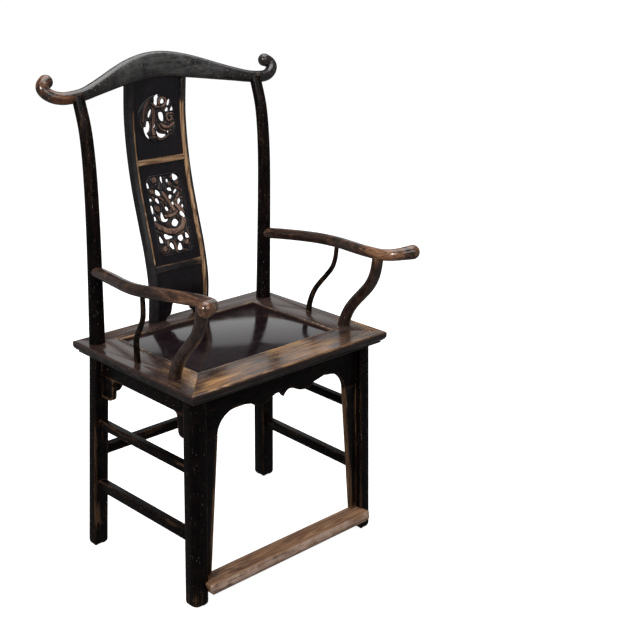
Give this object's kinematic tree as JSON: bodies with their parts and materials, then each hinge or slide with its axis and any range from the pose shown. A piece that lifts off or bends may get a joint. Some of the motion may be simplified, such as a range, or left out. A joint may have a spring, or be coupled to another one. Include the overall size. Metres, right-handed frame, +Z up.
{
  "type": "chair",
  "caption": "Official hat armchair with a yoke crest rail, curved arms on goosenecks, a pierced splat, a framed panel seat, stretchers and a footrest.",
  "frame": {"origin": "on the floor, at the middle of the chair's overall footprint", "axes": "+X towards the sitter's left, -Y towards the front, +Z up"},
  "size_m": [0.674, 0.5828, 1.1424],
  "materials": {
    "leg_lacquer": "satin black-brown lacquer with worn edges",
    "seat_frame_lacquer": "polished brown-black lacquer, worn golden brown at the outer edge",
    "seat_panel_lacquer": "polished aubergine-black lacquer",
    "underside_wood": "dull brown wood",
    "carved_lacquer": "satin black-brown lacquer, brown on the high spots",
    "worn_lacquer": "worn golden-brown lacquer",
    "splat_frame_lacquer": "satin brown-black lacquer, golden where handled",
    "arm_lacquer": "polished reddish-brown lacquer",
    "crest_lacquer": "satin grey-black lacquer, reddish brown at the ends",
    "footrest_worn_wood": "worn orange-brown wood"
  },
  "bodies": {
    "root": {"arm_front_post_left": "arm_lacquer", "arm_front_post_right": "arm_lacquer", "arm_left": "arm_lacquer", "arm_right": "arm_lacquer", "arm_side_post_left": "arm_lacquer", "arm_side_post_right": "arm_lacquer", "crest_rail": "crest_lacquer", "footrest": "footrest_worn_wood", "front_apron": "leg_lacquer", "front_apron_strip_left": "leg_lacquer", "front_apron_strip_right": "leg_lacquer", "front_leg_left": "leg_lacquer", "front_leg_right": "leg_lacquer", "rear_apron": "leg_lacquer", "rear_leg_post_left": "leg_lacquer", "rear_leg_post_right": "leg_lacquer", "rear_spandrel_left": "leg_lacquer", "rear_spandrel_right": "leg_lacquer", "rear_stretcher": "leg_lacquer", "seat_batten_left": "underside_wood", "seat_batten_right": "underside_wood", "seat_panel": "seat_panel_lacquer", "seat_rail_front": "seat_frame_lacquer", "seat_rail_left": "seat_frame_lacquer", "seat_rail_rear": "seat_frame_lacquer", "seat_rail_right": "seat_frame_lacquer", "side_apron_left": "leg_lacquer", "side_apron_right": "leg_lacquer", "side_spandrel_front_left": "leg_lacquer", "side_spandrel_front_right": "leg_lacquer", "side_spandrel_rear_left": "leg_lacquer", "side_spandrel_rear_right": "leg_lacquer", "side_stretcher_lower_left": "leg_lacquer", "side_stretcher_lower_right": "leg_lacquer", "side_stretcher_upper_left": "leg_lacquer", "side_stretcher_upper_right": "leg_lacquer", "splat_panel_bottom": "carved_lacquer", "splat_panel_middle": "carved_lacquer", "splat_panel_top": "carved_lacquer", "splat_rail_lower": "worn_lacquer", "splat_rail_upper": "worn_lacquer", "splat_stile_left": "splat_frame_lacquer", "splat_stile_right": "splat_frame_lacquer"}
  },
  "joints": []
}
